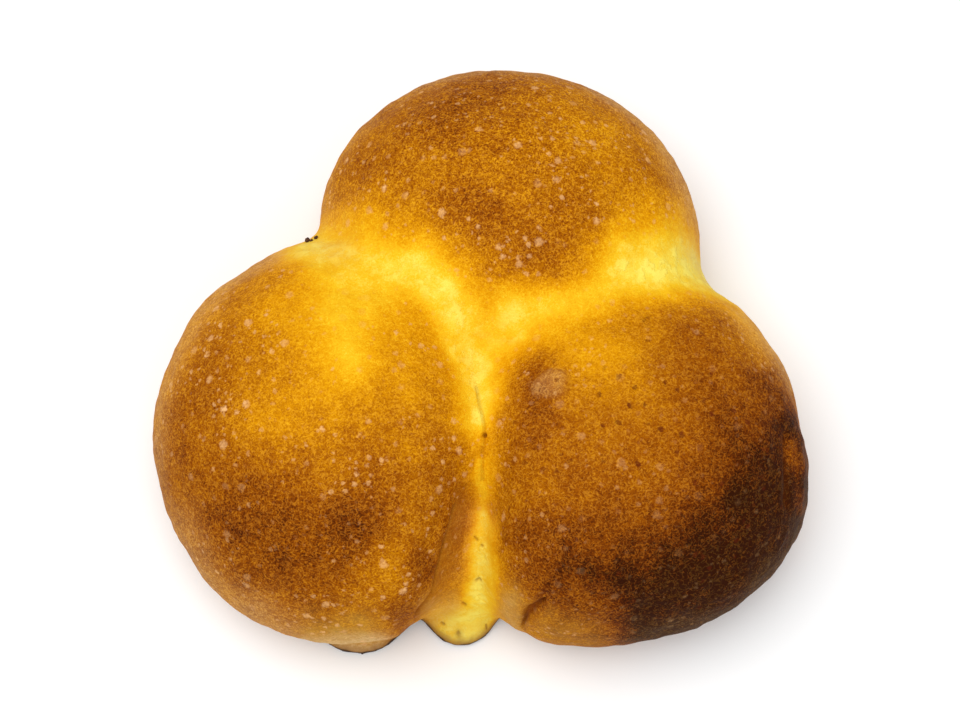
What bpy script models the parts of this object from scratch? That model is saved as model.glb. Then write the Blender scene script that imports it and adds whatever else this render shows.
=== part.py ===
"""Pull-apart bread: three balls of enriched dough that grew into one trefoil loaf as they proved and baked.

Metres, +Z up. The flat underside lies on Z = 0. One ball is at the back (+Y) and two are at the front.
The crust is the level surface of a dough field, which is below zero inside the dough. Each ball is a
squashed egg, the dough fills the valleys between them, and folds, dents and pits shift the field a little.
A cube with a fine grid of cells is pressed onto that surface and trimmed flat where it sat on the tray.
"""

from dataclasses import dataclass
from math import cos, radians, sin

import bmesh
import bpy
import numpy as np
from mathutils import Vector, noise

# Driving dimensions
GIRTH_HEIGHT = 0.0150  # the height at which a ball is widest
UNDER_DEPTH = 0.0280  # how fast a ball draws in below its girth: a smaller depth overhangs more

HEIGHT_FADE = 0.0040  # height over which a crease or a fold fades in and out
UNEVENNESS = 0.0007  # how far the crust wanders in and out
LUMP_SIZES = (0.024, 0.011)  # widths of that wandering, the wide one twice as deep
SEED_SHIFT = Vector((3.1, 7.7, 1.3))  # where the wandering is read from the noise

HEART = np.array([0.0, -0.003, 0.014])  # a point in the middle that sees the whole crust
CELLS = 32  # cells along each side of the cube
FLATNESS = 0.42  # the loaf's height over its width, which spreads the cells evenly
REACH = 0.090  # farther from the heart than any crust
HALVINGS = 18  # each step halves the error of where a ray leaves the dough
EVENING_STEPS = 3  # rounds that even out the cells
SNAP_HEIGHT = 0.0006  # corners this near the tray are put on it


@dataclass
class Ball:
    """One ball of dough, as a squashed egg."""

    x: float
    y: float
    long: float  # half its length along its long axis, at the girth
    wide: float  # half its width across that axis
    turn: float  # degrees from +X to the long axis
    crown: float  # height of its top above the tray
    fullness: float  # 2 is an ellipse in plan, and more is squarer


@dataclass
class Mound:
    """A low rise of dough on the tray, half an ellipsoid: a web between two balls, a tongue or a foot."""

    x: float
    y: float
    long: float
    wide: float
    turn: float
    height: float
    blend: float  # how softly it runs into what stands beside it


@dataclass
class Crease:
    """A groove or a raised line along a path in plan, which fades away from it on either side."""

    path: list  # points in plan
    width: float  # distance at which it has mostly faded
    depth: float  # below zero for a raised line
    lowest: float  # it is only felt between these heights
    highest: float


@dataclass
class Fold:
    """A step along a path in plan: the dough on the right of the path laps over the dough on its left."""

    path: list
    width: float  # distance from the path to the fullest part of the lap
    height: float
    lowest: float
    highest: float


BALLS = {
    "left": Ball(-0.0240, -0.0163, 0.0376, 0.0353, 93.0, 0.0430, 2.0),
    "right": Ball(0.0246, -0.0204, 0.0346, 0.0332, 15.0, 0.0440, 2.4),
    "back": Ball(0.0056, 0.0223, 0.0358, 0.0318, -15.0, 0.0430, 1.95),
}
# How far the dough fills the valley between two balls: near the loaf's middle, and out at the notches
VALLEY_FILL = {
    ("left", "right"): (0.0060, 0.0020),
    ("left", "back"): (0.0120, 0.0025),
    ("right", "back"): (0.0120, 0.0060),
}
FILL_FADE = 0.0260  # distance from the middle at which the first has mostly given way to the second

MOUNDS = [
    Mound(-0.0030, -0.0321, 0.0175, 0.0095, 90.0, 0.0225, 0.0050),  # web that runs down to the front
    Mound(-0.0037, -0.0441, 0.0083, 0.0072, 90.0, 0.0064, 0.0020),  # tongue on the tray in front of it
    Mound(-0.0220, -0.0411, 0.0128, 0.0110, 90.0, 0.0070, 0.0025),  # foot that shows under the left ball
]

MIDDLE = [(-0.0010, -0.0040), (0.0035, -0.0036)]
SEAM = [(0.0007, -0.0131), (0.0009, -0.0211), (0.0005, -0.0331)]
FRONT_NOTCH = [(-0.0010, -0.0331), (-0.0034, -0.0461), (-0.0038, -0.0611)]
SIDE_DENT = [(0.0561, -0.0161), (0.0557, -0.0281)]
SLIT = [(0.0075, -0.0511), (0.0124, -0.0470)]
SWELLING = [(0.0125, -0.0451), (0.0185, -0.0448)]
KNOB = [(0.0095, -0.0131), (0.0112, -0.0119)]
LEFT_FLANK = [(-0.0049, -0.0322), (-0.0070, -0.0392), (-0.0089, -0.0452), (-0.0117, -0.0483)]

CREASES = [
    Crease(MIDDLE, 0.0075, 0.0024, 0.020, 0.060),  # hollow where the valleys meet
    Crease(SEAM, 0.0034, 0.0016, 0.010, 0.060),
    Crease(FRONT_NOTCH, 0.0060, 0.0050, -0.020, 0.060),
    Crease(SIDE_DENT, 0.0018, 0.0010, 0.004, 0.026),
    Crease(SLIT, 0.0016, 0.0010, 0.006, 0.030),
    Crease(SWELLING, 0.0028, -0.0006, 0.010, 0.040),
    Crease(KNOB, 0.0032, -0.0007, 0.020, 0.060),
]
FOLDS = [
    Fold(LEFT_FLANK, 0.0025, 0.0008, 0.006, 0.040),  # the left ball laps over the front web
]


def in_turned_frame(points, x, y, turn):
    """Plan coordinates of the points along and across an axis turned by so many degrees."""
    away_x = points[:, 0] - x
    away_y = points[:, 1] - y
    c, s = cos(radians(turn)), sin(radians(turn))
    return away_x * c + away_y * s, away_y * c - away_x * s


def ball_field(points, ball):
    along, across = in_turned_frame(points, ball.x, ball.y, ball.turn)
    lift = points[:, 2] - GIRTH_HEIGHT
    rise = np.where(lift > 0.0, lift / (ball.crown - GIRTH_HEIGHT), lift / UNDER_DEPTH)
    plan = np.abs(along / ball.long) ** ball.fullness + np.abs(across / ball.wide) ** ball.fullness
    return (np.sqrt(plan ** (2.0 / ball.fullness) + rise**2) - 1.0) * (ball.long + ball.wide) / 2.0


def mound_field(points, mound):
    along, across = in_turned_frame(points, mound.x, mound.y, mound.turn)
    size = (along / mound.long) ** 2 + (across / mound.wide) ** 2 + (points[:, 2] / mound.height) ** 2
    return (np.sqrt(size) - 1.0) * mound.wide


def join(first, second, reach):
    """The union of two fields, filled where they differ by less than the reach."""
    closeness = np.clip(reach - np.abs(first - second), 0.0, None) / reach
    return np.minimum(first, second) - closeness**2 * reach / 4.0


def distance_to_path(points, path):
    """Distance in plan from each point to a line through the path's points."""
    nearest = np.full(len(points), np.inf)
    for start, end in zip(path[:-1], path[1:]):
        start = np.array(start)
        run = np.array(end) - start
        away = points[:, :2] - start
        share = np.clip(away @ run / (run @ run), 0.0, 1.0)
        nearest = np.minimum(nearest, np.linalg.norm(away - share[:, None] * run, axis=1))
    return nearest


def felt_between(points, lowest, highest):
    """One between two heights, and fading to zero just outside them."""
    above = np.clip((points[:, 2] - lowest) / HEIGHT_FADE, 0.0, 1.0)
    below = np.clip((highest - points[:, 2]) / HEIGHT_FADE, 0.0, 1.0)
    return above * below


def crease_depth(points, crease):
    felt = felt_between(points, crease.lowest, crease.highest)
    return felt * crease.depth * np.exp(-((distance_to_path(points, crease.path) / crease.width) ** 2))


def fold_depth(points, fold):
    """Below zero on the right of the path, where the dough laps over, and above zero on its left."""
    start, end = np.array(fold.path[0]), np.array(fold.path[-1])
    run = end - start
    away = points[:, :2] - start
    side = np.sign(run[0] * away[:, 1] - run[1] * away[:, 0])
    distance = distance_to_path(points, fold.path) / fold.width
    felt = felt_between(points, fold.lowest, fold.highest)
    return felt * fold.height * side * distance * np.exp((1.0 - distance**2) / 2.0)


def dough_field(points):
    """Below zero inside the dough, zero on the crust."""
    balls = {name: ball_field(points, ball) for name, ball in BALLS.items()}
    nearness = np.exp(-((np.linalg.norm(points[:, :2] - HEART[:2], axis=1) / FILL_FADE) ** 2))
    dough = np.full(len(points), np.inf)
    for (first, second), (at_middle, at_notch) in VALLEY_FILL.items():
        reach = at_notch + (at_middle - at_notch) * nearness
        dough = np.minimum(dough, join(balls[first], balls[second], reach))
    for crease in CREASES:
        dough = dough + crease_depth(points, crease)
    for fold in FOLDS:
        dough = dough + fold_depth(points, fold)
    for mound in MOUNDS:
        dough = join(dough, mound_field(points, mound), mound.blend)
    return dough


def press_onto_crust(points):
    """Moves each point along its ray from the heart to where the ray leaves the dough."""
    rays = points - HEART
    rays /= np.linalg.norm(rays, axis=1)[:, None]
    inner = np.zeros(len(rays))
    outer = np.full(len(rays), REACH)
    for _ in range(HALVINGS):
        middle = (inner + outer) / 2.0
        inside = dough_field(HEART + rays * middle[:, None]) < 0.0
        inner = np.where(inside, middle, inner)
        outer = np.where(inside, outer, middle)
    return HEART + rays * ((inner + outer) / 2.0)[:, None]


def even_out(points, edges):
    """Moves each point to the middle of its neighbours."""
    total = np.zeros_like(points)
    count = np.zeros(len(points))
    for near, far in ((edges[:, 0], edges[:, 1]), (edges[:, 1], edges[:, 0])):
        np.add.at(total, near, points[far])
        np.add.at(count, near, 1.0)
    return total / count[:, None]


def wander(point):
    """How far the uneven crust stands out at a point, as a share of UNEVENNESS."""
    place = Vector(point) + SEED_SHIFT
    wide, narrow = LUMP_SIZES
    return (noise.noise(place / wide) * 2.0 + noise.noise(place / narrow)) / 1.5


def settle_on_tray(points):
    """Puts points that nearly touch the tray on it."""
    points[np.abs(points[:, 2]) < SNAP_HEIGHT, 2] = 0.0


def make_loaf(name):
    """The loaf as one closed mesh."""
    grid = bmesh.new()
    bmesh.ops.create_cube(grid, size=2.0)
    bmesh.ops.subdivide_edges(grid, edges=grid.edges[:], cuts=CELLS - 1, use_grid_fill=True)

    corners = np.array([corner.co for corner in grid.verts])
    edges = np.array([[corner.index for corner in edge.verts] for edge in grid.edges])
    rays = np.tan(corners * np.pi / 4.0) * np.array([1.0, 1.0, FLATNESS])
    points = press_onto_crust(HEART + rays)
    for _ in range(EVENING_STEPS):
        points = press_onto_crust(even_out(points, edges))

    rays = points - HEART
    rays /= np.linalg.norm(rays, axis=1)[:, None]
    points += rays * np.array([[wander(point) * UNEVENNESS] for point in points])
    settle_on_tray(points)
    for corner, point in zip(grid.verts, points):
        corner.co = point

    everything = grid.verts[:] + grid.edges[:] + grid.faces[:]
    cut = bmesh.ops.bisect_plane(
        grid, geom=everything, dist=1e-6, plane_co=(0.0, 0.0, 0.0), plane_no=(0.0, 0.0, 1.0), clear_inner=True
    )
    rim = [item for item in cut["geom_cut"] if isinstance(item, bmesh.types.BMEdge)]
    bmesh.ops.holes_fill(grid, edges=rim)
    bmesh.ops.triangulate(grid, faces=grid.faces[:])
    bmesh.ops.recalc_face_normals(grid, faces=grid.faces[:])

    mesh = bpy.data.meshes.new(name)
    grid.to_mesh(mesh)
    grid.free()
    mesh.shade_smooth()
    return mesh


def crust_material():
    material = bpy.data.materials.new("golden_crust")
    material.use_nodes = True
    shader = material.node_tree.nodes["Principled BSDF"]
    shader.inputs["Base Color"].default_value = (0.50, 0.22, 0.035, 1.0)
    shader.inputs["Roughness"].default_value = 0.50
    shader.inputs["Metallic"].default_value = 0.0
    return material


for old in list(bpy.data.objects):
    bpy.data.objects.remove(old)

collection = bpy.data.collections.new("pull_apart_bread")
bpy.context.scene.collection.children.link(collection)

bread = bpy.data.objects.new("bread", make_loaf("bread"))
bread.data.materials.append(crust_material())
collection.objects.link(bread)
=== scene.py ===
"""Pull-apart bread: a soft loaf of three balls that grew together, with browned domes and pale valleys."""

import math

import bpy
import numpy as np
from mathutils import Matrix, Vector, noise
from mathutils.bvhtree import BVHTree


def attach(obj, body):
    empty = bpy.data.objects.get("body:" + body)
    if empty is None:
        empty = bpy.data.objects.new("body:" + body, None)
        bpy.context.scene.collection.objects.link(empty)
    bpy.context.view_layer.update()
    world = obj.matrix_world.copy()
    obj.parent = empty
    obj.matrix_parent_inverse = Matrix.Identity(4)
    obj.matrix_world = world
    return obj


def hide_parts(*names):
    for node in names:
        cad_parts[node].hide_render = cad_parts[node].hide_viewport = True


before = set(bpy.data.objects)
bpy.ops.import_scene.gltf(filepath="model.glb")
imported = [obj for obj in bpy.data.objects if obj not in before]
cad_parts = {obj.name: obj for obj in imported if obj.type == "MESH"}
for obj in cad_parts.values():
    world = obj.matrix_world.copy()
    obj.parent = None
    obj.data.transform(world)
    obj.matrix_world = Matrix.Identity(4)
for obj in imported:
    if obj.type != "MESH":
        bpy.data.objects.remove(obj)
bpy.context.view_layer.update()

# ---------------------------------------------------------------------------------------------------
# The loaf. Three balls of enriched dough were set close together on a tray, and grew into one piece.
# Its skin stayed smooth and stretched over the domes, and tore, wrinkled and folded where they meet.

MM = 0.001
SKIN_CELL = 0.62 * MM
SKIN_EVENING = 14  # rounds of smoothing that take away the solid's flat facets
FINE_CUTS = 2  # of each cell, at the seam, the left fold, the slit and the pinholes
UNDERSIDE_SHARE = 0.12  # of the cells that the flat underside keeps

# Marks of the skin: places in plan, and rises and depths of the relief, all in millimetres
SEAM = [(-0.6, -12.0), (0.0, -15.5), (0.7, -19.0), (0.7, -21.0), (0.3, -24.0), (0.4, -28.0)]
SEAM_DEPTH = 0.30
SEAM_PIT = (0.75, -20.9)
SEAM_PIT_DEPTH = 1.0
LEFT_FOLD = [(-4.9, -32.4), (-7.0, -39.8), (-8.8, -45.9), (-11.7, -49.4)]
FOLD_DEPTH = 1.0
FOLD_LIP_RISE = 0.70
# the slit has its half width at each point
SLIT = [(7.4, -51.0, 0.22), (8.0, -50.3, 0.62), (8.8, -49.7, 0.62), (9.9, -49.2, 0.30), (11.2, -48.8, 0.16)]
SLIT_PATH = [spot[:2] for spot in SLIT]
SLIT_DEPTH = 1.1
SLIT_LIP_RISE = 0.24
SHELF = [(10.5, -48.5), (11.8, -46.5), (14.5, -44.8), (19.0, -45.2)]
SHELF_DEPTH = 0.40
KNOB = [(10.8, -13.4), (13.0, -13.2)]
KNOB_RADIUS = 2.5
KNOB_RISE = 0.38
KNOB_EDGE_DEPTH = 0.20
SIDE_DENT = [(53.9, -19.5), (53.8, -26.2), (53.6, -32.0)]
SIDE_DENT_DEPTH = 0.65
SIDE_RIDGE = [(56.9, -19.0), (57.2, -25.2), (56.6, -31.5)]
SIDE_RIDGE_RISE = 0.35
TONGUE_PIT = (-4.0, -50.6)
TONGUE_PIT_DEPTH = 0.7
PINHOLES = [
    [(-0.9, -36.6), (-0.5, -37.1)],
    [(0.1, -38.1), (0.2, -38.2)],
    [(-0.7, -43.3), (-0.2, -43.0), (0.1, -43.3)],
    [(-3.1, -46.4), (-2.6, -46.6)],
    [(-7.1, -48.6), (-6.6, -48.9)],
    [(1.2, -48.9), (1.3, -49.4)],
]
PINHOLE_WIDTH = 0.20
PINHOLE_DEPTH = 0.30
# the marks too narrow for the cells, and how far around each the skin is cut finer
FINE_MARKS = [(SEAM, 1.2), (LEFT_FOLD, 1.6), (SLIT_PATH, 1.6)]
FINE_ROUND_PINHOLE = 0.8

# Uneven skin, in layers: the size of the lumps, a shift of their noise, and their rise. Sizes and rises are in
# millimetres.
LUMPS = [(11.0, 0.0, 0.28), (5.0, 3.1, 0.26), (2.2, 5.7, 0.15), (1.3, 8.8, 0.05)]
LEATHERY_LUMPS = [(3.0, 1.7, 0.14), (1.6, 7.1, 0.10)]  # on the right ball
WEB_WRINKLES = [(1.6, 9.2, 0.08)]


def work_on(*things):
    """Selects just these objects for the next operator, with the first one active."""
    bpy.ops.object.select_all(action="DESELECT")
    for thing in things:
        thing.select_set(True)
    bpy.context.view_layer.objects.active = things[0]


def choose_faces(mesh, chosen):
    """Selects just these faces, and their edges and corners, for the next operator in edit mode."""
    bpy.ops.object.mode_set(mode="EDIT")
    bpy.ops.mesh.select_all(action="DESELECT")
    bpy.ops.mesh.select_mode(type="FACE")
    bpy.ops.object.mode_set(mode="OBJECT")
    mesh.polygons.foreach_set("select", chosen)
    bpy.ops.object.mode_set(mode="EDIT")


def read_vectors(items, name):
    """The centres, normals or places of a mesh's faces or corners, one row each, in metres."""
    values = np.empty(len(items) * 3)
    items.foreach_get(name, values)
    return values.reshape(-1, 3)


def step(low, high, value):
    """Zero below low, one above high, and smooth between. It falls where low is above high."""
    share = np.clip((value - low) / (high - low), 0.0, 1.0)
    return share * share * (3.0 - 2.0 * share)


def plan_distance(points, path):
    """Distance in plan from a path, in millimetres, and which side of it: above zero on its left."""
    flat = points[:, :2] / MM
    nearest = np.full(len(flat), np.inf)
    side = np.zeros(len(flat))
    for start, end in zip(path[:-1], path[1:]):
        start = np.array(start)
        run = np.array(end) - start
        away = flat - start
        share = np.clip(away @ run / (run @ run), 0.0, 1.0)
        distance = np.linalg.norm(away - share[:, None] * run, axis=1)
        nearer = distance < nearest
        side = np.where(nearer, np.sign(run[0] * away[:, 1] - run[1] * away[:, 0]), side)
        nearest = np.where(nearer, distance, nearest)
    return nearest, side


def bell(distance, width):
    """One at no distance, and nearly zero from twice the width."""
    return np.exp(-((distance / width) ** 2))


def stroke_felt(points, path):
    """One on a stroke in plan, fading with its width as it gets further away. A lone point is a dot."""
    flat = points[:, :2] / MM
    path = [np.array(point) for point in path]
    felt = np.zeros(len(flat))
    for start, end in zip(path, path[1:] or path):
        run = (end - start)[:2]
        share = np.clip((flat - start[:2]) @ run / max(run @ run, 1e-9), 0.0, 1.0)
        width = start[2] + share * (end[2] - start[2])
        away = np.linalg.norm(flat - start[:2] - share[:, None] * run, axis=1)
        felt = np.maximum(felt, bell(away, width))
    return felt


def surface_of(mesh):
    """The mesh's faces, to be searched for the nearest one or for the one that a ray meets."""
    corners = [spot.co for spot in mesh.vertices]
    return BVHTree.FromPolygons(corners, [face.vertices for face in mesh.polygons])


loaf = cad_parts["bread"].copy()
loaf.data = loaf.data.copy()
loaf.name = "loaf"
loaf.data.materials.clear()
bpy.context.scene.collection.objects.link(loaf)
work_on(loaf)
bpy.ops.object.mode_set(mode="EDIT")
bpy.ops.mesh.select_all(action="SELECT")
bpy.ops.mesh.remove_doubles(threshold=0.01 * MM)
bpy.ops.object.mode_set(mode="OBJECT")

# the convex hull lies over the loaf like a taut cloth, and the web is the skin that lies far below it
cloth = loaf.copy()
cloth.data = loaf.data.copy()
bpy.context.scene.collection.objects.link(cloth)
work_on(cloth)
bpy.ops.object.mode_set(mode="EDIT")
bpy.ops.mesh.select_all(action="SELECT")
bpy.ops.mesh.convex_hull(use_existing_faces=False)
bpy.ops.object.mode_set(mode="OBJECT")
taut = surface_of(cloth.data)
bpy.data.objects.remove(cloth)

# small even cells carry the relief, finer ones the narrow marks, and coarser ones the flat underside
work_on(loaf)
remesh = loaf.modifiers.new("fine_skin", "REMESH")
remesh.mode = "VOXEL"
remesh.voxel_size = SKIN_CELL
bpy.ops.object.modifier_apply(modifier=remesh.name)
evening = loaf.modifiers.new("even_skin", "SMOOTH")
evening.factor = 0.5
evening.iterations = SKIN_EVENING
bpy.ops.object.modifier_apply(modifier=evening.name)

centres = read_vectors(loaf.data.polygons, "center")
detail = np.zeros(len(centres), dtype=bool)
for path, reach in FINE_MARKS:
    detail |= (plan_distance(centres, path)[0] < reach) & (centres[:, 2] > 9.0 * MM)
for hole in PINHOLES:
    detail |= (plan_distance(centres, hole)[0] < FINE_ROUND_PINHOLE) & (centres[:, 2] > 2.0 * MM)
choose_faces(loaf.data, detail)
bpy.ops.mesh.subdivide(number_cuts=FINE_CUTS, smoothness=0.0)
bpy.ops.object.mode_set(mode="OBJECT")

centres = read_vectors(loaf.data.polygons, "center")
facing = read_vectors(loaf.data.polygons, "normal")
choose_faces(loaf.data, (centres[:, 2] < 0.25 * MM) & (facing[:, 2] < -0.95))
bpy.ops.mesh.decimate(ratio=UNDERSIDE_SHARE)
bpy.ops.object.mode_set(mode="OBJECT")

skin = read_vectors(loaf.data.vertices, "co")
out = read_vectors(loaf.data.vertices, "normal")
height = skin[:, 2] / MM

# how far each spot lies below the taut cloth, in millimetres
sunken = np.zeros(len(skin))
for index, (spot, way) in enumerate(zip(skin, out)):
    hit = taut.ray_cast(Vector(spot + way * 0.02 * MM), Vector(way), 40.0 * MM)
    if hit[0] is not None:
        sunken[index] = hit[3] / MM


def ripple(size, shift=0.0, points=skin):
    """Smooth unevenness between about -1 and 1, with lumps of this size in millimetres, at each point."""
    offset = Vector((shift, -shift, 2.0 * shift))
    return np.array([noise.noise(Vector(spot) / (size * MM) + offset) for spot in points])


def layered(lumps):
    """Layers of unevenness, one on the other, in millimetres."""
    return sum(rise * ripple(size, shift) for size, shift, rise in lumps)


crust = step(1.5, 5.0, height)  # the relief fades out towards the tray
web = step(2.0, 6.0, sunken)
right_dome = stroke_felt(skin, [(30.0, -20.0, 26.0)])
relief = crust * (layered(LUMPS) + right_dome * layered(LEATHERY_LUMPS) + web * layered(WEB_WRINKLES))

# the seam down the middle, with a pit where it pinches
seam_high = step(26.0, 30.0, height)
seam_away, _ = plan_distance(skin, SEAM)
pit_away = np.linalg.norm(skin[:, :2] / MM - np.array(SEAM_PIT), axis=1)
seam_felt = seam_high * bell(seam_away, 0.30)
pit_felt = seam_high * bell(pit_away, 0.36)
relief -= SEAM_DEPTH * seam_felt + SEAM_PIT_DEPTH * pit_felt

# the left ball laps over the web: a lip on its own side of the fold, and a groove on the other
fold_away, fold_side = plan_distance(skin, LEFT_FOLD)
fold_high = step(10.0, 16.0, height)
lip_felt = fold_high * bell(fold_away - 0.6, 0.65) * (fold_side < 0)
fold_felt = fold_high * bell(fold_away - 0.15, 0.28) * (fold_side >= 0)
relief += FOLD_LIP_RISE * lip_felt - FOLD_DEPTH * fold_felt

# the torn slit low on the right ball, and the shelf above it
slit_away, _ = plan_distance(skin, SLIT_PATH)
slit_high = step(12.0, 17.0, height)
slit_felt = slit_high * stroke_felt(skin, SLIT)
relief += slit_high * SLIT_LIP_RISE * bell(slit_away - 1.4, 0.6) - SLIT_DEPTH * slit_felt
shelf_away, _ = plan_distance(skin, SHELF)
shelf_felt = bell(shelf_away, 1.0) * step(20.0, 26.0, height)
relief -= SHELF_DEPTH * shelf_felt

# the blistered knob on the right ball, in a shallow ring
knob_high = step(30.0, 34.0, height)
knob_away, _ = plan_distance(skin, KNOB)
knob_felt = knob_high * step(KNOB_RADIUS + 0.3, KNOB_RADIUS - 1.1, knob_away + 1.1 * ripple(2.8, 2.3))
knob_edge_felt = knob_high * bell(knob_away - KNOB_RADIUS, 0.35)
relief += KNOB_RISE * knob_felt - KNOB_EDGE_DEPTH * knob_edge_felt

# the dent and the ridge on the right side
side_high = step(8.0, 14.0, height)
dent_away, _ = plan_distance(skin, SIDE_DENT)
ridge_away, _ = plan_distance(skin, SIDE_RIDGE)
dent_felt = side_high * bell(dent_away, 0.6)
relief += side_high * SIDE_RIDGE_RISE * bell(ridge_away, 1.4) - SIDE_DENT_DEPTH * dent_felt

# the pit on the tongue, and the pinholes on the web
tongue_pit_away = np.linalg.norm(skin[:, :2] / MM - np.array(TONGUE_PIT), axis=1)
tongue_pit_felt = bell(tongue_pit_away, 0.55) * step(9.0, 7.0, height)
relief -= TONGUE_PIT_DEPTH * tongue_pit_felt
pinholes_felt = np.zeros(len(skin))
for hole in PINHOLES:
    pinholes_felt = np.maximum(pinholes_felt, bell(plan_distance(skin, hole)[0], PINHOLE_WIDTH))
pinholes_felt *= step(2.0, 3.0, height)
relief -= PINHOLE_DEPTH * pinholes_felt

skin += out * (relief * MM)[:, None]
skin[:, 2] = np.maximum(skin[:, 2], 0.0)
loaf.data.vertices.foreach_set("co", skin.ravel())
loaf.data.update()
loaf.data.shade_smooth()

# Browning, from 0 where the dough stayed pale to 1 where it is nearly black. The domes stood up into the heat.
# A baked place is a stroke in plan, with its half width at each point, and how much browner it is. Some are
# painted shadow.
DOME_BROWNING = 0.565
FLANK_BROWNING = 0.61  # of the left ball's flank, which turns in towards the fold
DARKEST = 1.02
LOW_FADE = 0.08  # what the sides lack near the tray
BURNT_LOW_FADE = 0.20  # and what the burnt side lacks more
CREAM_BELOW = 0.16
BAKED_AND_SHADED_PLACES = {
    "left dome, front": ([(-44.0, -35.0, 8.0), (-29.0, -40.0, 10.0), (-19.0, -36.0, 6.0)], 0.21),
    "left dome, brown inner side": ([(-19.0, -28.0, 3.5)], 0.08),
    "left dome, amber inner side": ([(-12.0, -24.0, 3.5)], -0.05),
    "left dome, left front": ([(-40.0, -27.0, 4.0)], 0.08),
    "left dome, outer edge": ([(-47.0, -7.0, 5.0), (-54.0, -24.0, 6.0)], 0.10),
    "left dome, golden middle": ([(-36.0, -19.0, 7.0), (-27.0, -16.0, 8.0)], -0.14),
    "left dome, crown": ([(-17.0, -15.0, 5.0)], -0.05),
    "left dome, golden far side": ([(-36.0, 1.0, 6.0), (-33.0, -7.0, 5.0)], -0.12),
    "left dome, golden inner side": ([(-15.0, 1.0, 6.0), (-12.5, -9.0, 5.0), (-12.0, -14.0, 3.5)], -0.13),
    "left dome, flank": ([(-7.0, -28.0, 3.0), (-7.0, -35.0, 3.0)], 0.08),
    # painted shadow: the left ball's lower edge is browner along the fold, where its lip shades it
    "left dome, painted shadow along the fold": ([(-9.5, -42.0, 1.6), (-11.5, -47.0, 2.4), (-14.0, -50.5, 2.2)], 0.16),
    "left dome, golden front": ([(-16.5, -44.0, 4.0), (-14.0, -38.0, 3.0)], -0.05),
    "left dome, low side": ([(-52.0, -38.0, 4.0), (-46.0, -46.0, 3.5), (-33.0, -52.0, 3.0)], -0.05),
    "left dome, brown front left": ([(-40.0, -45.0, 3.5), (-34.0, -45.0, 3.5)], 0.07),
    "left dome, left side": ([(-46.0, 10.0, 6.0), (-57.0, -8.0, 4.0)], -0.08),
    "right dome, burnt edge": (
        [(52.0, -20.0, 5.0), (52.0, -30.0, 8.0), (51.0, -40.0, 12.0), (41.0, -50.0, 11.0), (31.0, -53.0, 6.0)],
        0.34,
    ),
    "right dome, brown halo": ([(46.0, -36.0, 11.0), (40.0, -42.0, 13.0), (29.0, -46.0, 8.0)], 0.15),
    "right dome, burnt rim": (
        [(58.0, -29.0, 4.0), (55.0, -40.0, 5.0), (46.0, -49.0, 6.0), (39.0, -51.0, 4.0)],
        0.18,
    ),
    "right dome, brown shoulder": ([(43.0, -18.0, 4.0), (44.0, -24.0, 5.0), (44.0, -31.0, 3.0)], 0.15),
    "right dome, amber front": ([(30.0, -33.0, 5.0), (31.0, -38.0, 5.0), (28.0, -42.0, 4.0)], -0.10),
    "right dome, inner side": ([(3.0, -28.0, 2.0), (3.0, -32.0, 2.5)], -0.07),
    "right dome, brown inner front": ([(9.0, -27.0, 5.0), (18.0, -28.0, 6.0), (36.0, -26.0, 6.0)], 0.06),
    "right dome, side window": ([(55.0, -21.5, 1.2), (56.2, -25.0, 2.2), (56.6, -31.0, 1.8)], -0.15),
    "right dome, front band": ([(28.0, -45.0, 6.0), (20.0, -45.0, 4.0), (15.0, -43.5, 2.5)], 0.12),
    "right dome, front": ([(32.0, -37.0, 8.0), (20.0, -39.5, 8.0), (8.0, -39.5, 6.0)], 0.19),
    "right dome, far shoulder": ([(40.0, -2.0, 6.0), (38.0, -14.0, 8.0)], 0.12),
    "right dome, outer side": (
        [(50.0, -11.0, 4.0), (55.0, -15.0, 4.0), (58.0, -20.0, 3.0), (59.0, -27.0, 3.0)],
        0.22,
    ),
    "right dome, far side": ([(48.0, 3.0, 4.0), (52.0, -2.0, 4.0)], -0.20),
    "right dome, round the knob": ([(8.5, -10.0, 3.5), (8.0, -15.0, 3.5), (9.0, -19.0, 5.0)], 0.16),
    "right dome, golden top": ([(21.0, -8.0, 6.0), (13.0, -3.0, 5.0)], -0.20),
    "right dome, low front": (
        [(10.0, -45.0, 3.0), (15.0, -50.5, 4.0), (24.0, -54.0, 4.0), (30.0, -55.0, 3.0)],
        0.13,
    ),
    # painted shadow under the shelf
    "right dome, painted shadow under the shelf": ([(11.0, -48.5, 1.6), (17.0, -47.0, 2.0), (24.0, -48.0, 4.0)], 0.05),
    "back dome, front": ([(-3.0, 19.0, 7.0), (4.0, 13.0, 5.0), (12.0, 14.0, 5.0), (19.0, 18.0, 5.0)], 0.07),
    "back dome, front left": ([(-1.0, 18.0, 4.0)], 0.05),
    "back dome, far left": ([(-8.0, 38.0, 8.0), (2.0, 46.0, 5.0)], 0.12),
    "back dome, left": ([(-20.0, 31.0, 5.0)], 0.06),
    "back dome, golden low left": ([(-20.0, 19.5, 5.0), (-29.0, 22.0, 4.0)], -0.18),
    "back dome, golden low right": ([(28.0, 21.0, 5.0), (37.0, 22.0, 5.0)], -0.16),
    "back dome, amber right": ([(20.0, 35.0, 7.0)], -0.12),
    "back dome, amber left": ([(-9.0, 26.0, 4.0)], -0.08),
    "back dome, right side": ([(33.0, 40.0, 5.0), (39.0, 30.0, 5.0)], -0.08),
    "back dome, left side": ([(-26.0, 38.0, 4.0), (-31.0, 28.0, 4.0)], -0.08),
}
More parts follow.
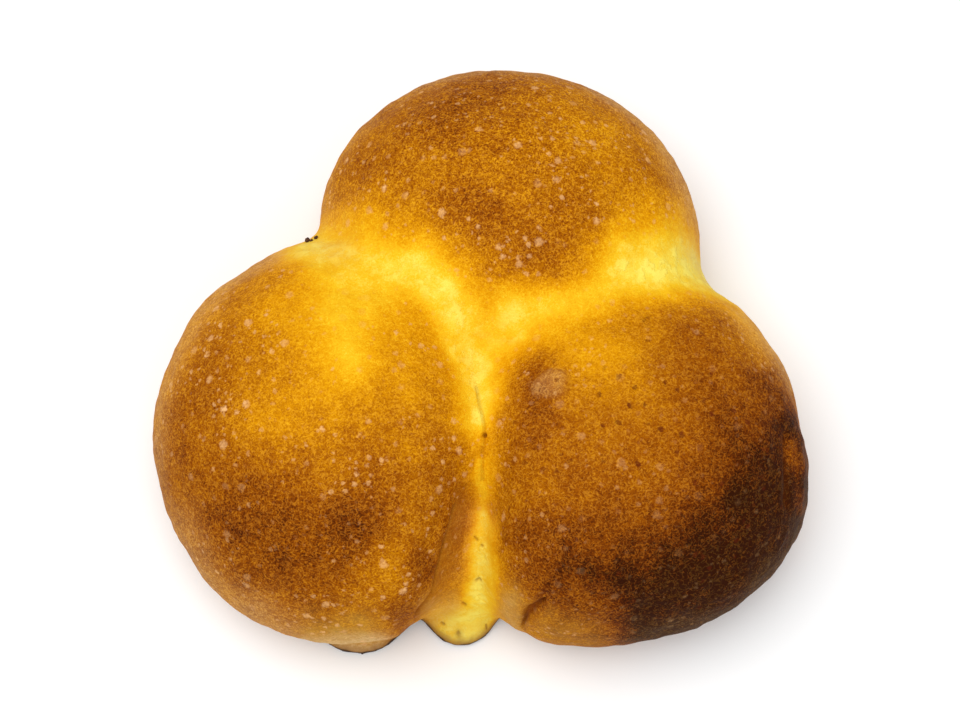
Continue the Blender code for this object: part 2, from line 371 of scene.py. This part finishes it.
# Where the balls touched, the dough was covered: strokes again, with how much of the browning is missing.
PALE_VALLEYS = {
    "left valley": ([(-34.0, 18.0, 5.0), (-26.0, 14.0, 6.0), (-10.0, 9.0, 6.5), (-4.0, 2.0, 5.0)], 0.70),
    "left valley, palest": ([(-13.0, 8.5, 4.0), (-8.5, 5.0, 4.0)], 0.60),
    "left valley, far end": ([(-31.0, 16.0, 4.0)], 0.60),
    "left shoulder": ([(-24.0, 6.0, 9.0), (-24.0, 0.0, 8.5), (-23.0, -8.0, 6.0)], 0.68),
    "middle": ([(-3.0, -2.0, 6.0), (-0.5, -7.0, 6.2), (-0.4, -12.0, 5.2), (-0.8, -18.0, 3.4)], 0.88),
    "middle, right corner": ([(5.5, -2.5, 4.0)], 0.66),
    "right valley": (
        [(6.0, 1.0, 4.0), (17.0, 2.5, 4.5), (28.0, 9.0, 7.0), (38.0, 12.0, 7.0), (46.0, 8.0, 4.0)],
        0.70,
    ),
    "right valley, palest": ([(28.0, 10.5, 5.0), (38.0, 13.0, 6.0)], 0.65),
    "right valley, near end": ([(24.0, 11.5, 4.5), (30.0, 11.0, 5.0)], 0.50),
    "right notch": ([(38.0, 14.0, 5.0), (42.0, 13.0, 5.0)], 0.85),
    "pinch": ([(-0.5, -20.0, 3.5), (0.6, -25.0, 3.0), (0.5, -30.0, 2.6)], 0.36),
    "strip": (
        [(0.2, -34.0, 1.6), (0.2, -38.0, 2.2), (0.5, -43.0, 2.8), (-0.6, -47.0, 3.8), (-3.0, -51.0, 6.0)],
        0.80,
    ),
    "strip, far end": ([(0.7, -26.0, 1.0), (0.4, -30.0, 1.2), (0.0, -35.0, 1.6)], 0.50),
    "tongue": ([(-6.5, -50.0, 3.0), (-1.0, -50.0, 3.0)], 0.70),
    "strip, palest": ([(0.2, -39.0, 1.7), (-0.2, -46.5, 2.4)], 0.60),
}

# the places have no drawn outline: their edges wander by a millimetre or two
wander = np.column_stack([ripple(13.0, 21.3), ripple(13.0, 34.7)]) * 1.2
wander += np.column_stack([ripple(4.5, 41.9), ripple(4.5, 55.1)])
loose = skin.copy()
loose[:, :2] += wander * MM
browning = np.full(len(skin), DOME_BROWNING)
for path, gain in BAKED_AND_SHADED_PLACES.values():
    browning += gain * stroke_felt(loose, path)
browning -= (LOW_FADE + BURNT_LOW_FADE * step(0.70, 0.95, browning)) * step(18.0, 3.0, height)
for path, missing in PALE_VALLEYS.values():
    browning *= 1.0 - missing * stroke_felt(loose, path)
# painted shade in the shelf's groove; the fold's lip is a little browner
browning += 0.06 * shelf_felt + 0.05 * lip_felt
flank_felt = fold_high * bell(fold_away, 3.2) * step(-0.1, 0.2, fold_away * fold_side)
browning += (FLANK_BROWNING - browning) * 0.8 * flank_felt
browning = np.clip(browning, 0.0, DARKEST)

# The skin low on the sides, on the tongue and beside the folds was never in the heat, and is dull and tan:
# strokes, with the share of it.
LOW_DULLNESS = 0.30
FLANK_DULLNESS = 0.12
COVERED_PLACES = {
    "under the left fold": ([(-4.5, -46.5, 1.8), (-8.5, -48.5, 2.0)], 0.55),
    "beside the slit": ([(4.5, -48.0, 2.2), (5.8, -50.8, 2.2)], 0.75),
    "tongue edge": ([(-9.5, -49.5, 1.2), (-4.0, -53.0, 1.2), (2.5, -50.0, 1.0)], 0.80),
    "foot": ([(-30.0, -53.0, 2.5), (-20.0, -53.0, 3.0)], 0.80),
    "right dome, low front": ([(12.0, -52.0, 3.0), (20.0, -54.5, 3.5), (34.0, -55.5, 3.0)], 0.32),
}
burnt = step(0.66, 0.80, browning)
dull = LOW_DULLNESS * step(14.0, 4.0, height) * (1.0 - burnt)
dull = np.maximum(dull, FLANK_DULLNESS * flank_felt)
for path, share in COVERED_PLACES.values():
    dull = np.maximum(dull, share * stroke_felt(loose, path) * (1.0 - burnt))
cream = 1.0 - browning / CREAM_BELOW

# Flour and dried dough skin left a tan bloom on the low rims, and the same tan is also a painted sheen where
# the
# rims turn away: strokes, their share, and the height that they stay under, in millimetres.
KNOB_BLOOM = 0.26
SIDE_BLOOM_AND_SHEEN = 0.32  # on the sides and the back, but not on the front
# painted sheen: a pale glint along the low rim of the burnt side
BURNT_RIM_SHEEN = 0.08
BLOOM_AND_SHEEN_PLACES = {
    "left rim": ([(-50.0, 6.0, 4.0), (-57.0, -10.0, 3.0), (-59.0, -26.0, 3.0)], 0.35, 32.0),
    "left low edge": ([(-55.0, -36.0, 4.0), (-47.0, -47.0, 3.5), (-34.0, -54.0, 3.5)], 0.50, 32.0),
    "foot": ([(-30.0, -54.8, 2.5), (-19.0, -54.3, 2.5)], 1.80, 18.0),
    "under the left fold": ([(-4.5, -46.8, 1.4), (-8.5, -48.8, 1.4)], 0.35, 32.0),
    "beside the slit": ([(4.5, -48.5, 1.4), (6.0, -51.0, 1.6)], 0.30, 32.0),
    "tongue": ([(-6.0, -50.0, 2.0), (-1.0, -51.0, 2.0)], 0.18, 32.0),
    "back dome, right rim": ([(24.0, 46.0, 4.0), (34.0, 37.0, 3.0), (40.0, 25.0, 4.0)], 0.50, 32.0),
    "right notch": ([(40.0, 16.0, 4.0), (44.0, 11.0, 3.0)], 0.65, 32.0),
    "left notch": ([(-31.0, 17.0, 3.0), (-26.0, 14.0, 3.0)], 0.30, 40.0),
    "back dome, far rim": ([(-16.0, 50.0, 3.0), (2.0, 53.0, 4.0), (16.0, 51.0, 3.0)], 0.40, 32.0),
    "back dome, left rim": ([(-24.0, 44.0, 3.0), (-32.0, 30.0, 3.0)], 0.40, 32.0),
    "right dome, far rim": ([(49.0, 2.0, 4.0), (56.0, -8.0, 3.0)], 0.45, 32.0),
    "left dome, far edge": ([(-48.0, 10.0, 4.0), (-38.0, 16.0, 4.0)], 0.45, 32.0),
}
behind_front = step(-46.0, -34.0, skin[:, 1] / MM)
bloom_and_sheen_height = height + 5.0 * ripple(8.0, 61.3)
side_bloom_and_sheen = SIDE_BLOOM_AND_SHEEN * step(32.0, 12.0, bloom_and_sheen_height) * behind_front * (1.0 - burnt)
dust = np.maximum(KNOB_BLOOM * knob_felt, side_bloom_and_sheen)
dust = np.maximum(dust, BURNT_RIM_SHEEN * burnt * bell(bloom_and_sheen_height - 16.0, 6.0))
for path, share, top in BLOOM_AND_SHEEN_PLACES.values():
    dust = np.maximum(dust, share * stroke_felt(loose, path) * step(1.25 * top, 0.75 * top, height))

# Painted shade: the seam and its pit, the fold's groove, the slit, the knob's ring, the side dent, the
# tongue's pit and the pinholes are darkened in the colour where shade falls in them.
crease = seam_felt * 0.40 + pit_felt + fold_felt * 1.3 + slit_felt * 1.1 + knob_edge_felt * 0.35
crease += dent_felt * 0.2 + tongue_pit_felt + pinholes_felt * 0.8


def keep_on_skin(name, values):
    loaf.data.attributes.new(name, "FLOAT", "POINT").data.foreach_set("value", values.astype(np.float32))


keep_on_skin("browning", browning)
keep_on_skin("cream", np.clip(cream, 0.0, 1.0))
keep_on_skin("dull", dull)
keep_on_skin("dust", dust)
keep_on_skin("crease", np.clip(crease, 0.0, 1.0))
keep_on_skin("pitted", right_dome)
keep_on_skin("coarse", stroke_felt(skin, [(4.0, 34.0, 24.0)]) - 1.7 * flank_felt)


class Shade:
    """A value, colour or vector in a material. Sums and products of values add their Math nodes."""

    def __init__(self, tree, socket=None):
        self.tree = tree
        self.socket = socket

    def node(self, kind, output, inputs, **settings):
        """Another node: its settings first, then the values or links of its sockets."""
        made = self.tree.nodes.new(kind)
        for name, value in settings.items():
            if name == "stops":
                stops = made.color_ramp.elements
                while len(stops) < len(value):
                    stops.new(1.0)
                for stop, (position, colour) in zip(stops, value):
                    stop.position = position
                    stop.color = (*colour, 1.0)
            else:
                setattr(made, name, value)
        for name, value in inputs.items():
            if isinstance(value, Shade):
                self.tree.links.new(value.socket, made.inputs[name])
            else:
                made.inputs[name].default_value = value
        return Shade(self.tree, made.outputs[output])

    def combine(self, operation, first, second):
        return self.node("ShaderNodeMath", 0, {0: first, 1: second}, operation=operation)

    def __add__(self, other):
        return self.combine("ADD", self, other)

    def __radd__(self, other):
        return self.combine("ADD", other, self)

    def __sub__(self, other):
        return self.combine("SUBTRACT", self, other)

    def __rsub__(self, other):
        return self.combine("SUBTRACT", other, self)

    def __mul__(self, other):
        return self.combine("MULTIPLY", self, other)

    def __rmul__(self, other):
        return self.combine("MULTIPLY", other, self)

    def between(self, low, high):
        """Zero where the value is low, one where it is high, and smooth between."""
        return self.node(
            "ShaderNodeMapRange",
            0,
            {"Value": self, "From Min": low, "From Max": high},
            interpolation_type="SMOOTHSTEP",
        )

    def mix(self, share, other):
        """This colour, with a share of the other over it."""
        return self.node("ShaderNodeMix", 2, {0: share, 6: self, 7: other}, data_type="RGBA")


CRUST_COLOURS = [
    (0.00, (0.86, 0.66, 0.075)),
    (0.13, (0.82, 0.48, 0.012)),
    (0.30, (0.72, 0.32, 0.002)),
    (0.44, (0.57, 0.22, 0.001)),
    (0.57, (0.41, 0.135, 0.001)),
    (0.68, (0.30, 0.080, 0.001)),
    (0.79, (0.19, 0.042, 0.001)),
    (0.89, (0.095, 0.018, 0.001)),
    (1.00, (0.030, 0.006, 0.001)),
]
CREAM_COLOUR = (0.90, 0.77, 0.14, 1.0)
BLOOM_AND_SHEEN_COLOUR = (0.66, 0.43, 0.18, 1.0)
THREAD_AND_GLINT_COLOUR = (0.62, 0.32, 0.05, 1.0)
COVERED_COLOUR = (0.57, 0.32, 0.040, 1.0)
BLISTER_COLOUR = (0.76, 0.42, 0.17, 1.0)
PIT_COLOUR = (0.11, 0.015, 0.003, 1.0)
CREASE_SHADE_COLOUR = (0.20, 0.042, 0.004, 1.0)
BASE_EDGE_COLOUR = (0.26, 0.11, 0.03, 1.0)
BASE_COLOUR = (0.045, 0.022, 0.012, 1.0)

crust_material = bpy.data.materials.new("baked_crust")
crust_material.use_nodes = True
crust_tree = crust_material.node_tree
place = Shade(crust_tree).node("ShaderNodeTexCoord", "Object", {})


def on_skin(name):
    return place.node("ShaderNodeAttribute", "Fac", {}, attribute_name=name)


def speckle(where, size, detail=2.0, roughness=0.5, curl=0.0):
    """Noise about zero with grains of this size in millimetres. Curl draws them out into worms."""
    scale = 1.0 / (size * MM)
    grains = {"Vector": where, "Scale": scale, "Detail": detail, "Roughness": roughness, "Distortion": curl}
    return where.node("ShaderNodeTexNoise", 0, grains) - 0.5


def spots(where, cell, radius, share):
    """Round spots in a share of the cells, in millimetres: one on a spot and zero off it."""
    cells = {"Vector": where, "Scale": 1.0 / (cell * MM)}
    centre = where.node("ShaderNodeTexVoronoi", "Distance", cells)
    lots = where.node("ShaderNodeTexVoronoi", "Color", cells)
    lot = where.node("ShaderNodeSeparateColor", "Red", {0: lots})
    return centre.between(radius / cell * 1.25, radius / cell * 0.6) * (share - lot).between(0.0, 0.03)


brown = on_skin("browning")
pitted = on_skin("pitted")
lift = place.node("ShaderNodeSeparateXYZ", "Z", {0: place})

# the browning is made of grains: the finest wrinkles of the skin caught the heat first
mottle = speckle(place, 6.0, 3.0)
clumps = speckle(place, 2.2, 2.0)
grain = speckle(place, 0.75, 2.0, 0.6, 1.2)
fine_grain = speckle(place, 0.32, 1.0)
curls = speckle(place, 0.90, 1.0, 0.5, 0.8)
threads = curls.node("ShaderNodeMath", 0, {0: curls}, operation="ABSOLUTE").between(0.075, 0.0)
graininess = (brown.between(0.02, 0.5) * 0.75 + 0.25) * (1.0 - brown.between(0.70, 0.95) * 0.15)
graininess = graininess * (on_skin("coarse") * 0.35 + 1.0 - pitted * 0.22)
toast = (grain * 0.34 + fine_grain * 0.40 + clumps * 0.12 - threads * 0.13 + 0.05) * graininess
blotches = speckle(place, 2.6, 3.0, 0.6) * (0.16 - brown.between(0.1, 0.4) * 0.08)
toast = brown + mottle * (0.24 - pitted * 0.10) + blotches + toast
colour = toast.node("ShaderNodeValToRGB", 0, {0: toast}, stops=CRUST_COLOURS)

# the palest skin is cream in patches, and skin that was covered is dull and tan
cream = on_skin("cream")
patches = speckle(place, 2.8, 5.0, 0.65).between(-0.03, 0.08)
colour = colour.mix(cream * patches * 0.75, CREAM_COLOUR)
colour = colour.mix(on_skin("dull") * (0.6 + clumps * 0.8), COVERED_COLOUR)

# the dried skin shows as fine pale threads, and as a tan bloom low on the sides, which also holds a painted
# sheen on the rims
# painted glints: the pale threads are partly dried skin, and partly light caught on the finest wrinkles of the
# skin
thread_and_glint_share = brown.between(0.2, 0.5) * 0.13 - brown.between(0.62, 0.95) * 0.07
colour = colour.mix(threads * thread_and_glint_share, THREAD_AND_GLINT_COLOUR)
colour = colour.mix(on_skin("dust") * (threads * 0.4 - grain * 0.8 + 0.45), BLOOM_AND_SHEEN_COLOUR)

# blisters are pale spots of about a millimetre, where gas raised the skin; pits are dark ones, where it burst
bent = place.node("ShaderNodeTexNoise", "Color", {"Vector": place, "Scale": 1500.0, "Detail": 3.0})
bent = place.node("ShaderNodeVectorMath", 0, {0: bent, 1: (MM, MM, MM)}, operation="MULTIPLY")
bent = place.node("ShaderNodeVectorMath", 0, {0: bent, 1: place}, operation="ADD")
gathered = speckle(place, 9.0, 1.0).between(-0.12, 0.12)
blister = spots(bent, 3.4, 0.80, 0.30) + spots(bent, 2.1, 0.48, 0.44)
blister = blister * (gathered * 0.6 + 0.4) * (1.0 - pitted * 0.75)
blister = blister + spots(bent, 1.3, 0.32, 0.45) * gathered * 0.7 * (1.0 - pitted * 0.5)
blister = blister * brown.between(0.10, 0.38) * (1.0 - brown.between(0.60, 0.85) * 0.8)
colour = colour.mix(blister * (0.58 - grain * 1.2), BLISTER_COLOUR)
pits = spots(bent, 2.6, 0.52, 0.60) * (pitted * 0.9 + 0.1)
colour = colour.mix(pits * brown.between(0.30, 0.55) * (0.74 + grain), PIT_COLOUR)
# painted shade in the creases, pits and pinholes
colour = colour.mix(on_skin("crease") * 0.7, CREASE_SHADE_COLOUR)

# the underside and its thin dark rim took the heat of the tray
edge = lift + speckle(place, 2.5) * (2.2 * MM)
colour = colour.mix(edge.between(4.2 * MM, 1.6 * MM) * 0.75, BASE_EDGE_COLOUR)
colour = colour.mix(edge.between(2.0 * MM, 1.1 * MM), BASE_COLOUR)

bump_height = grain * 0.7 + fine_grain * 0.35 + clumps * 0.5
bump_height = bump_height + blister * 0.35 - pits * 0.5 + cream * patches * 0.8
bump = place.node("ShaderNodeBump", 0, {"Height": bump_height, "Strength": 0.7, "Distance": 0.22 * MM})
roughness = 0.62 - grain * 0.3

crust_shader = crust_tree.nodes["Principled BSDF"]
crust_tree.links.new(colour.socket, crust_shader.inputs["Base Color"])
crust_tree.links.new(bump.socket, crust_shader.inputs["Normal"])
crust_tree.links.new(roughness.socket, crust_shader.inputs["Roughness"])
crust_shader.inputs["Specular IOR Level"].default_value = 0.02
crust_shader.inputs["Sheen Weight"].default_value = 0.022
crust_shader.inputs["Sheen Roughness"].default_value = 0.22
crust_shader.inputs["Sheen Tint"].default_value = (1.0, 0.86, 0.68, 1.0)

loaf.data.materials.append(crust_material)
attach(loaf, "root")
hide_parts("bread")

# ---------------------------------------------------------------------------------------------------
# The crumbs. Bits of nearly black base crust broke away along the tray, and stuck to the skin in the notch
# behind the left ball. They are hard, dry and rough.

# a place near each one, and its radius, in millimetres
CRUMBS = [((-31.7, 18.9, 24.6), 0.48), ((-31.0, 18.6, 25.0), 0.30), ((-30.2, 19.6, 25.0), 0.36)]
CRUMB_STANDS_OUT = 0.45  # of its radius
CRUMB_BULGE = 0.22 * MM
CHAR_COLOURS = [(0.35, (0.02, 0.008, 0.005)), (0.70, (0.14, 0.055, 0.02))]

crust_skin = surface_of(loaf.data)
bits = []
for near, radius in CRUMBS:
    spot, way, _, _ = crust_skin.find_nearest(Vector(near) * MM)
    centre = spot + way * radius * CRUMB_STANDS_OUT * MM
    bpy.ops.mesh.primitive_ico_sphere_add(subdivisions=4, radius=radius * MM, location=centre)
    bits.append(bpy.context.object)
work_on(*bits)
crumbs = bits[0]
bpy.ops.object.join()
bpy.ops.object.transform_apply(location=True, rotation=True, scale=True)
crumbs.name = "crumbs"
crumb_skin = read_vectors(crumbs.data.vertices, "co")
crumb_out = read_vectors(crumbs.data.vertices, "normal")
bulges = ripple(0.55, points=crumb_skin) + 0.5 * ripple(0.2, points=crumb_skin)
crumb_skin += crumb_out * (bulges * CRUMB_BULGE)[:, None]
crumbs.data.vertices.foreach_set("co", crumb_skin.ravel())
crumbs.data.update()
crumbs.data.shade_smooth()

crumb_material = bpy.data.materials.new("burnt_crumb")
crumb_material.use_nodes = True
crumb_tree = crumb_material.node_tree
crumb_place = Shade(crumb_tree).node("ShaderNodeTexCoord", "Object", {})
char = speckle(crumb_place, 0.25, 2.0, 0.6)
crumb_colour = char.node("ShaderNodeValToRGB", 0, {0: char + 0.5}, stops=CHAR_COLOURS)
crumb_shader = crumb_tree.nodes["Principled BSDF"]
crumb_tree.links.new(crumb_colour.socket, crumb_shader.inputs["Base Color"])
rough_face = char.node("ShaderNodeBump", 0, {"Height": char, "Strength": 0.7, "Distance": 0.08 * MM})
crumb_tree.links.new(rough_face.socket, crumb_shader.inputs["Normal"])
crumb_shader.inputs["Roughness"].default_value = 0.8
crumb_shader.inputs["Specular IOR Level"].default_value = 0.2
crumbs.data.materials.append(crumb_material)
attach(crumbs, "root")

# ---------------------------------------------------------------------------------------------------
# The table, the light and the camera. The loaf lies on a pale table in soft light from above, and the camera
# looks steeply down on it from the front.

LOOK_AT = Vector((0.0, -0.0011, 0.015))
CAMERA_ELEVATION = math.radians(74.0)
CAMERA_DISTANCE = 0.443

bpy.ops.mesh.primitive_plane_add(size=4.0, location=(0.0, 0.0, 0.0))
floor = bpy.context.object
floor.name = "table"
floor_material = bpy.data.materials.new("pale_table")
floor_material.use_nodes = True
floor_shader = floor_material.node_tree.nodes["Principled BSDF"]
floor_shader.inputs["Base Color"].default_value = (0.92, 0.92, 0.92, 1.0)
floor_shader.inputs["Roughness"].default_value = 0.9
floor.data.materials.append(floor_material)


def soft_light(name, stand, size, watts):
    """A white disk that faces the loaf."""
    light = bpy.data.lights.new(name, "AREA")
    light.shape = "DISK"
    light.size = size
    light.energy = watts
    lamp = bpy.data.objects.new(name, light)
    lamp.location = stand
    lamp.rotation_euler = (LOOK_AT - Vector(stand)).to_track_quat("-Z", "Y").to_euler()
    bpy.context.scene.collection.objects.link(lamp)


soft_light("window", (-0.22, 0.02, 1.0), 1.0, 7.5)
soft_light("fill", (0.5, -0.6, 0.6), 1.0, 1.5)

world = bpy.data.worlds.new("studio")
world.use_nodes = True
sky = world.node_tree.nodes["Background"]
sky.inputs["Color"].default_value = (1.0, 1.0, 1.0, 1.0)
sky.inputs["Strength"].default_value = 0.65
bpy.context.scene.world = world
bpy.context.scene.view_settings.view_transform = "Standard"

camera_data = bpy.data.cameras.new("camera")
camera_data.lens = 90.0
camera_data.sensor_width = 36.0
camera_data.clip_start = 0.01
camera = bpy.data.objects.new("camera", camera_data)
away = Vector((0.0, -math.cos(CAMERA_ELEVATION), math.sin(CAMERA_ELEVATION)))
camera.location = LOOK_AT + away * CAMERA_DISTANCE
camera.rotation_euler = (math.pi / 2.0 - CAMERA_ELEVATION, 0.0, 0.0)
bpy.context.scene.collection.objects.link(camera)
bpy.context.scene.camera = camera
